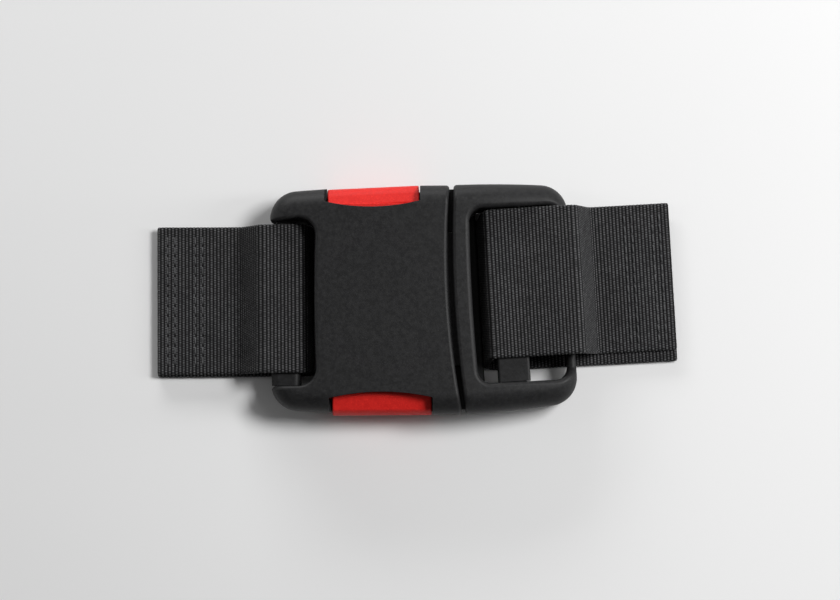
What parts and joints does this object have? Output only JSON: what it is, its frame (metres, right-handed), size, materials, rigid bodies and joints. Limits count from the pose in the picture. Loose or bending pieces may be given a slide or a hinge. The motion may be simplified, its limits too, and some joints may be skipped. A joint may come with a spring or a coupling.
{
  "type": "push-button webbing buckle",
  "caption": "Closed hip-belt buckle with a red push-button on each edge, a ladder frame on the male half, and the webbing ends looped and sewn round its cross-bars.",
  "frame": {"origin": "on the flat back face, on the centre line between the two push-buttons, about 10 mm inside the mouth of the female half", "axes": "+X along the belt from the female to the male half, +Y towards the upper push-button, +Z away from the wearer"},
  "size_m": [0.1779, 0.0784, 0.0181],
  "materials": {
    "black_moulding": "glass-filled nylon, fine matte moulding grain",
    "red_moulding": "red acetal, fine satin grain",
    "grey_acetal": "dark grey acetal, smooth as moulded",
    "blackened_steel": "black oxide on steel screws",
    "spring_steel": "bright spring steel",
    "black_webbing": "woven polyamide webbing with dense cross ribs and tubular selvedges",
    "black_thread": "bonded black sewing thread"
  },
  "bodies": {
    "female_half": {"front_shell": "black_moulding", "back_shell": "black_moulding", "housing_screws": "blackened_steel", "left_cross_bar": "black_moulding", "upper_catch_plate": "spring_steel", "lower_catch_plate": "spring_steel", "upper_spring_pins": "spring_steel", "lower_spring_pins": "spring_steel", "upper_bar_spring": "spring_steel", "upper_mouth_spring": "spring_steel", "lower_bar_spring": "spring_steel", "lower_mouth_spring": "spring_steel", "left_webbing": "black_webbing", "left_stitching": "black_thread"},
    "upper_push_button": {"upper_button": "red_moulding"},
    "lower_push_button": {"lower_button": "red_moulding"},
    "male_half": {"male_frame": "black_moulding", "root_cover": "black_moulding", "root_screws": "blackened_steel", "upper_latch_arm": "grey_acetal", "lower_latch_arm": "grey_acetal", "right_cross_bar": "black_moulding", "right_webbing": "black_webbing", "right_stitching": "black_thread"}
  },
  "joints": [
    {"name": "male_release", "type": "slide", "parent": "female_half", "child": "male_half", "axis": [1, 0, 0], "range_m": [0, 0.045], "deforming": ["upper_latch_arm", "lower_latch_arm"]},
    {"name": "upper_button_press", "type": "slide", "parent": "female_half", "child": "upper_push_button", "axis": [0, -1, 0], "range_m": [0, 0.004], "stiffness_N_per_m": 800, "springref_m": -0.0025, "deforming": ["upper_bar_spring", "upper_mouth_spring", "upper_latch_arm"]},
    {"name": "lower_button_press", "type": "slide", "parent": "female_half", "child": "lower_push_button", "axis": [0, 1, 0], "range_m": [0, 0.004], "stiffness_N_per_m": 800, "springref_m": -0.0025, "deforming": ["lower_bar_spring", "lower_mouth_spring", "lower_latch_arm"]}
  ]
}
